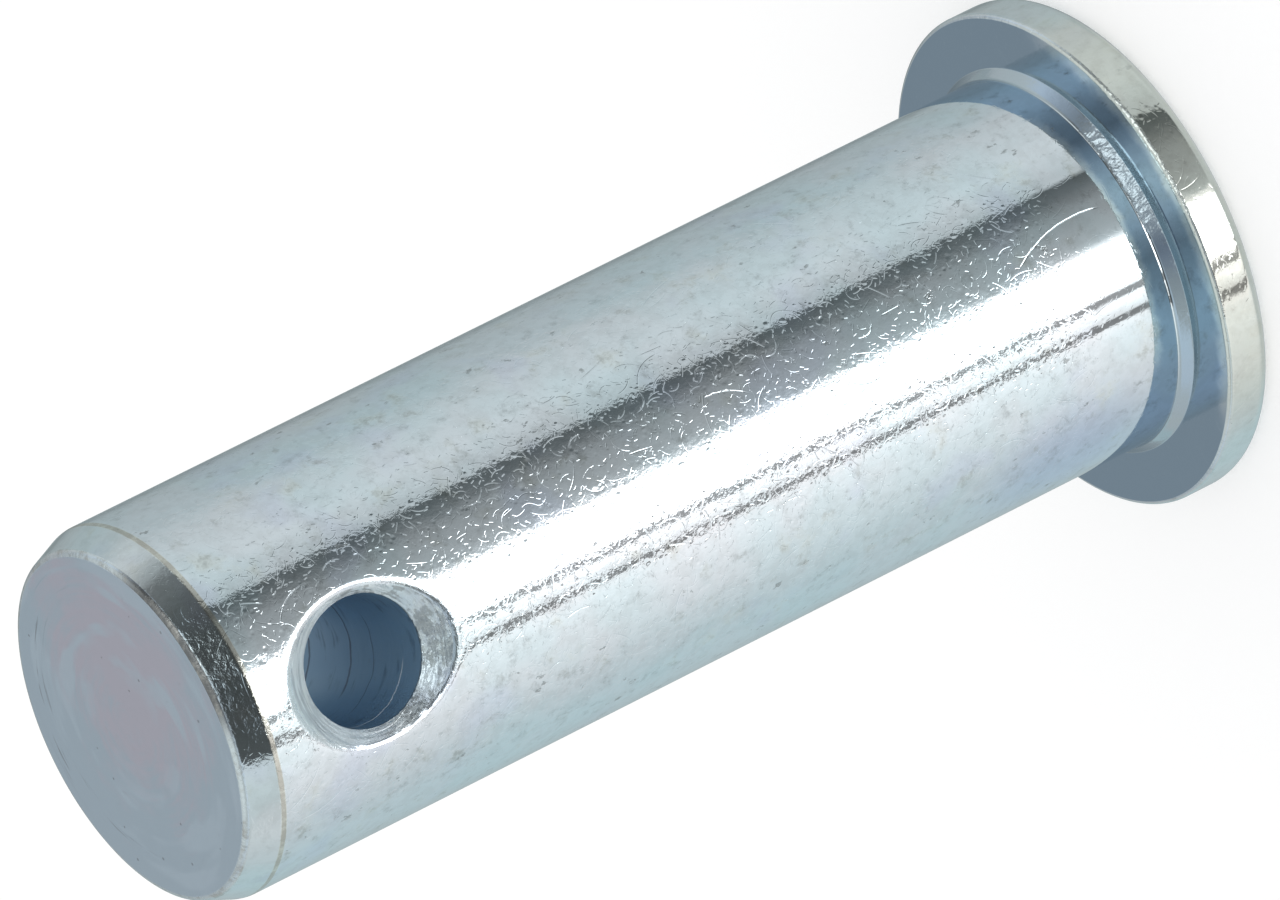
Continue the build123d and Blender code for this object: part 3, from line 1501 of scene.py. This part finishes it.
@dataclass(frozen=True)
class StudioTent:
    """A pale light tent: its wall, its open side, a long soft box and a round lamp.

    Bearings are in degrees from -Y, growing towards +X; heights in degrees above the floor.
    A pair is where something starts and where it is full, or the two sides of the box.
    Each ring of the tent is a row of stops: a bearing, its level, and its share of the tint.
    """

    white: float = 1.0
    blur: float = 0.5
    box: Span = (-13.6, 11.8)
    box_top: Span = (3.0, 0.0)
    box_strength: float = 2.6
    lamp_bearing: float = 52.0
    lamp_height: float = 50.0
    lamp_size: Span = (19.0, 11.0)
    lamp_strength: float = 1.8
    loft_from: Span = (1.0, 5.0)
    sky_from: Span = (16.0, 22.0)
    crown_from: Span = (31.0, 36.0)
    zenith_from: Span = (47.0, 54.0)
    zenith_level: float = 0.95
    table_from: Span = (-42.0, -58.0)
    table_level: float = 0.75
    scale: float = 1.7
    wall_tint: Colour = (0.86, 1.0, 1.03)
    sky_tint: Colour = (0.90, 1.0, 1.20)
    wall: tuple[tuple[float, ...], ...] = (
        (-180, 0.31, 0.9), (-150, 0.56, 1.0), (-132, 0.68, 1.0), (-114, 0.74, 0.8),
        (-100, 0.76, 0.4), (-89, 0.80, 0.1), (-66, 0.98, -0.3), (-53, 1.08, -0.4),
        (-38, 1.26, -0.5), (-34.5, 1.34, -0.8), (-29, 1.12, -0.7), (-26, 1.35, -0.5),
        (-23, 1.65, -0.6), (11.8, 1.6, -0.6), (15.5, 0.75), (18, 0.60), (22, 0.52), (30, 0.45),
        (38, 0.385), (43, 0.28), (49, 0.185, 0.3), (55.8, 0.135, 0.5), (56.6, 0.72), (61.0, 0.69),
        (66, 0.77), (78, 0.87), (90, 0.82), (102, 0.78), (114, 0.71), (126, 0.65, 0.4),
        (165, 0.51, 0.5), (180, 0.31, 0.9),
    )
    seams: tuple[Seam, ...] = (
        Seam(middle=-17.4, half_width=2.0, depth=0.72),
        Seam(middle=-31.0, half_width=1.9, depth=0.74),
    )
    loft: tuple[tuple[float, ...], ...] = (
        (-180, 0.48), (-100, 0.76), (-60, 0.79), (-36.5, 0.90), (-34, 0.11), (-20, 0.095),
        (5, 0.075), (40, 0.078), (62, 0.14), (76, 0.20), (82, 0.21), (88, 0.41), (100, 0.68),
        (115, 0.85), (140, 0.75), (180, 0.48),
    )
    sky: tuple[tuple[float, ...], ...] = (
        (-180, 0.51, 0.35), (-145, 0.55, 0.35), (-110, 0.80, 0.5), (-85, 0.86, 0.5),
        (-45, 0.95, 0.5), (-25, 0.68, 0.5), (-6, 0.46, 0.5), (5, 0.63, 0.4), (14, 0.96, 0.3),
        (25, 1.2, 0.1), (36, 1.25), (50, 0.92, 0.3), (62, 0.57, 0.6), (75, 0.31, 0.7),
        (92, 0.44, 0.7), (103, 0.62, 0.7), (114, 0.86, 0.7), (134, 0.86, 0.6), (155, 0.60, 0.35),
        (180, 0.51, 0.35),
    )
    crown: tuple[tuple[float, ...], ...] = (
        (-180, 0.75), (-115, 0.80), (-80, 0.64), (-48, 0.62), (-27, 0.46, 0.2), (-12, 0.33, 0.9),
        (-6, 0.28, 1.0), (25, 0.34, 0.9), (34, 0.52, 0.2), (56, 0.38), (74, 0.26), (95, 0.32),
        (125, 0.80), (180, 0.75),
    )

    def hang(self, scene: bpy.types.Scene) -> None:
        """Put the tent round the scene.

        Args:
            scene: The scene that gets it.
        """
        world = bpy.data.worlds.new("light_tent")
        scene.world = world
        world.use_nodes = True
        g = Graph(world.node_tree)
        x, y, z = g.signal("ShaderNodeTexCoord", output="Generated").parts()
        degrees = 180 / math.pi
        bearing = g.math("ARCTAN2", x, -y) * degrees
        height = g.math("ARCSINE", z) * degrees
        seams = [(self._seam(g, bearing, seam), grey(0.0)) for seam in self.seams]
        cloth = g.layered(
            self._ring(g, bearing, self.wall, self.wall_tint),
            *seams,
            (g.step(height, *self.loft_from), self._ring(g, bearing, self.loft, self.wall_tint)),
            (g.step(height, *self.sky_from), self._ring(g, bearing, self.sky, self.sky_tint)),
            (g.step(height, *self.crown_from), self._ring(g, bearing, self.crown, self.sky_tint)),
            (g.step(height, *self.zenith_from), grey(self.zenith_level / self.scale)),
            (g.step(height, *self.table_from), grey(self.table_level / self.scale)),
        )
        box = g.band(bearing, *self.box, self.blur) * g.step(height, *self.box_top)
        box = box * g.step(height, *reversed(self.table_from))
        shine = box * self.box_strength + self._lamp(g, x, y, z) * self.lamp_strength
        light = g.vector("ADD", g.scaled(cloth, (self.scale,) * 3), g.joined(shine, shine, shine))
        seen = g.signal("ShaderNodeLightPath", output="Is Camera Ray")
        glossy = g.signal("ShaderNodeLightPath", output="Is Glossy Ray")
        white = grey(self.white)
        colour = g.tint(seen, g.tint(glossy, white, light), white)
        shader = g.signal("ShaderNodeBackground", inputs={"Color": colour, "Strength": 1.0})
        g.node("ShaderNodeOutputWorld", inputs={0: shader})

    def _ring(
        self, g: Graph, bearing: Signal, stops: Sequence[tuple[float, ...]], tint: Colour
    ) -> Signal:
        """The light from one ring of the tent, by its bearing.

        Args:
            g: The tree.
            bearing: The bearing looked at.
            stops: Each stop's bearing, level and, where it has one, share of the tint.
            tint: The ring's tint, as a factor for each channel.

        Returns:
            The light's colour, divided by the tent's scale.
        """
        places = []
        for angle, level, *rest in stops:
            share = rest[0] if rest else 0.0
            colour = tuple(level / self.scale * (1 + (factor - 1) * share) for factor in tint)
            places.append(((angle + 180) / 360, colour))
        return g.ramp((bearing + 180.0) / 360.0, places)

    def _seam(self, g: Graph, bearing: Signal, seam: Seam) -> Signal:
        """How much of the wall's light one seam takes, by bearing."""
        outer, inner = seam.half_width + self.blur, seam.half_width - self.blur
        return g.step(abs(bearing - seam.middle), outer, inner) * seam.depth

    def _lamp(self, g: Graph, x: Signal, y: Signal, z: Signal) -> Signal:
        """The round lamp.

        Args:
            g: The tree.
            x: The first part of the direction looked in.
            y: The second part.
            z: The third part.

        Returns:
            1 towards the lamp, 0 elsewhere.
        """
        way = direction(self.lamp_bearing, self.lamp_height)
        facing = x * way.x + y * way.y + z * way.z
        return g.step(facing, *(math.cos(math.radians(size)) for size in self.lamp_size))


@dataclass(frozen=True)
class Floor:
    """A plain pale floor that keeps the pin's soft shadow."""

    half_width: float = 40.0
    drop: float = 0.02
    paint: float = 0.62
    lift: float = 0.42

    def lay(self) -> bpy.types.Object:
        """Make the floor.

        Returns:
            The floor's object.
        """
        mesh = bpy.data.meshes.new("floor")
        w, z = self.half_width, -self.drop * MM
        mesh.from_pydata([(-w, -w, z), (w, -w, z), (w, w, z), (-w, w, z)], [], [(0, 1, 2, 3)])
        floor = bpy.data.objects.new("floor", mesh)
        bpy.context.scene.collection.objects.link(floor)
        mesh.materials.append(self._paint())
        floor.visible_glossy = False
        return floor

    def _paint(self) -> bpy.types.Material:
        """Mix matt paint, lifted for the camera so that the lit floor is plain white.

        Returns:
            The material.
        """
        material = bpy.data.materials.new("floor_paint")
        material.use_nodes = True
        g = Graph(material.node_tree)
        matt = g.signal("ShaderNodeBsdfDiffuse", inputs={"Color": solid(grey(self.paint))})
        seen = g.signal("ShaderNodeLightPath", output="Is Camera Ray")
        lift = g.signal("ShaderNodeEmission", inputs={"Strength": seen * self.lift})
        both = g.signal("ShaderNodeAddShader", inputs={0: matt, 1: lift})
        g.node("ShaderNodeOutputMaterial", inputs={0: both})
        return material


@dataclass(frozen=True)
class Camera:
    """The camera, looking past the pin's tip towards its head, rolled on its side."""

    bearing: float = 14.544
    height: float = 28.274
    roll: float = -116.557
    distance: float = 0.66907
    lens: float = 634.59
    sensor: float = 36.0
    clip: Span = (0.01, 100.0)
    aim: tuple[float, float, float] = (0.562, 0.146, 17.339)

    def stand(self, scene: bpy.types.Scene) -> None:
        """Set the camera up in the scene.

        Args:
            scene: The scene that gets it.
        """
        data = bpy.data.cameras.new("camera")
        data.sensor_width = self.sensor
        data.lens = self.lens
        data.clip_start, data.clip_end = self.clip
        camera = bpy.data.objects.new("camera", data)
        scene.collection.objects.link(camera)
        back = direction(self.bearing, self.height)
        roll = math.radians(self.roll)
        level = Vector((0, 0, 1)).cross(back).normalized()
        rise = back.cross(level)
        right = math.cos(roll) * level + math.sin(roll) * rise
        up = back.cross(right)
        turn = Matrix((right, up, back)).transposed()
        place = Vector(self.aim) * MM + back * self.distance
        camera.matrix_world = Matrix.Translation(place) @ turn.to_4x4()
        scene.camera = camera


def main() -> None:
    """Build the pin, dress it, and set up the studio."""
    logging.basicConfig(level=logging.INFO, format="%(name)s: %(message)s")
    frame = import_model()
    scene = bpy.context.scene
    scene.view_settings.view_transform = "Standard"

    sizes = PinSizes.from_frame(frame["record"])
    pin = HeadedPin(sizes).build()
    pin.data.materials.append(ZincPlate(sizes.hole_height).make())
    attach(pin, BODY)
    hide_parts(PIECE)
    log.info("%s: %d faces", pin.name, len(pin.data.polygons))

    Floor().lay()
    StudioTent().hang(scene)
    Camera().stand(scene)
    log.info("floor, light tent and camera are set up")


if __name__ == "__main__":
    main()
